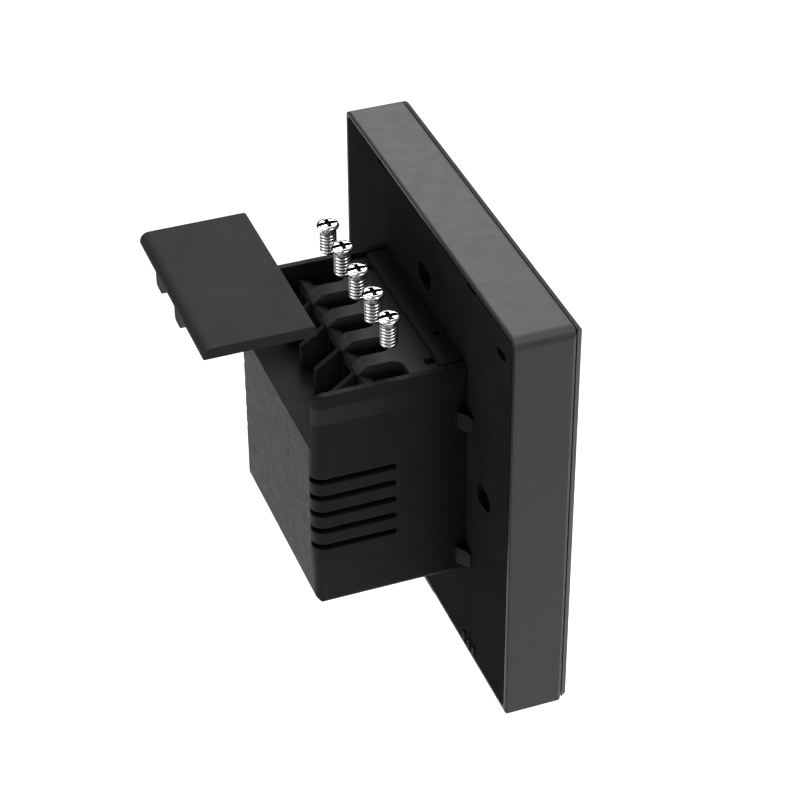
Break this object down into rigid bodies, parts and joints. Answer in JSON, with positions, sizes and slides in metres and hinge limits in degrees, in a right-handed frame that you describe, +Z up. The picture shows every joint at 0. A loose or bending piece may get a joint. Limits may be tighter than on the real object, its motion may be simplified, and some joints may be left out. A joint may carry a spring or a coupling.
{
  "type": "smart wall touch panel",
  "caption": "Square glass-fronted wall touch panel on a wall plate, with a rear housing for relays, clamp terminals with screws and a lift-off terminal cover.",
  "frame": {"origin": "centre of the square panel on the rear (wall) plane of the wall plate, midway between the two side mounting slots", "axes": "+Z up, +Y out of the wall plane into the wall box, so the glass faces -Y; +X to the right seen from the front"},
  "size_m": [0.086, 0.0612, 0.0868],
  "materials": {
    "cover_glass": "polished black-backed cover glass",
    "touch_film": "clear film with fine conductors",
    "display_steel": "plated steel back of the display",
    "frame_plastic": "fine satin moulded plastic, dark grey",
    "chassis_metal": "pressed aluminium",
    "green_board": "solder mask",
    "tin_shield": "tinned steel",
    "black_plastic": "moulded plastic, black",
    "plated_steel": "bright nickel plate",
    "plate_plastic": "fine eroded moulded plastic, near black",
    "housing_plastic": "fine eroded moulded plastic, near black",
    "terminal_plastic": "moulded plastic, near black",
    "cover_plastic": "satin moulded plastic, dark grey",
    "brass": "bright stamped brass",
    "brown_board": "laminate board",
    "relay_plastic": "blue relay case",
    "ferrite": "sintered ferrite and taped winding",
    "capacitor_sleeve": "sleeved can",
    "fuse_plastic": "potted case"
  },
  "bodies": {
    "wall_unit": {"wall_plate": "plate_plastic", "rear_housing": "housing_plastic", "terminal_base": "terminal_plastic", "terminal_deck": "terminal_plastic", "terminal_clamp_1": "brass", "terminal_clamp_2": "brass", "terminal_clamp_3": "brass", "terminal_clamp_4": "brass", "terminal_clamp_5": "brass", "power_board": "brown_board", "relay_1": "relay_plastic", "relay_2": "relay_plastic", "relay_3": "relay_plastic", "transformer": "ferrite", "filter_capacitor": "capacitor_sleeve", "fuse": "fuse_plastic", "board_header": "black_plastic", "power_board_screws": "plated_steel"},
    "front_unit": {"front_glass": "cover_glass", "touch_sensor": "touch_film", "display_module": "display_steel", "front_frame": "frame_plastic", "panel_chassis": "chassis_metal", "main_board": "green_board", "processor_shield": "tin_shield", "wireless_module": "tin_shield", "board_socket": "black_plastic", "speaker": "black_plastic", "chassis_screws": "plated_steel"},
    "cover": {"terminal_cover": "cover_plastic"},
    "screw_1": {"terminal_screw_1": "plated_steel"},
    "screw_2": {"terminal_screw_2": "plated_steel"},
    "screw_3": {"terminal_screw_3": "plated_steel"},
    "screw_4": {"terminal_screw_4": "plated_steel"},
    "screw_5": {"terminal_screw_5": "plated_steel"}
  },
  "joints": [
    {"name": "front_release", "type": "slide", "parent": "wall_unit", "child": "front_unit", "axis": [0, -1, 0], "range_m": [0, 0.012]},
    {"name": "cover_slide", "type": "slide", "parent": "wall_unit", "child": "cover", "axis": [0, -0.7928, -0.6095], "range_m": [0, 0.02346]},
    {"name": "screw_1_drive", "type": "slide", "parent": "wall_unit", "child": "screw_1", "axis": [0, 0, -1], "range_m": [0, 0.0139]},
    {"name": "screw_2_drive", "type": "slide", "parent": "wall_unit", "child": "screw_2", "axis": [0, 0, -1], "range_m": [0, 0.0139]},
    {"name": "screw_3_drive", "type": "slide", "parent": "wall_unit", "child": "screw_3", "axis": [0, 0, -1], "range_m": [0, 0.0139]},
    {"name": "screw_4_drive", "type": "slide", "parent": "wall_unit", "child": "screw_4", "axis": [0, 0, -1], "range_m": [0, 0.0139]},
    {"name": "screw_5_drive", "type": "slide", "parent": "wall_unit", "child": "screw_5", "axis": [0, 0, -1], "range_m": [0, 0.0139]}
  ]
}
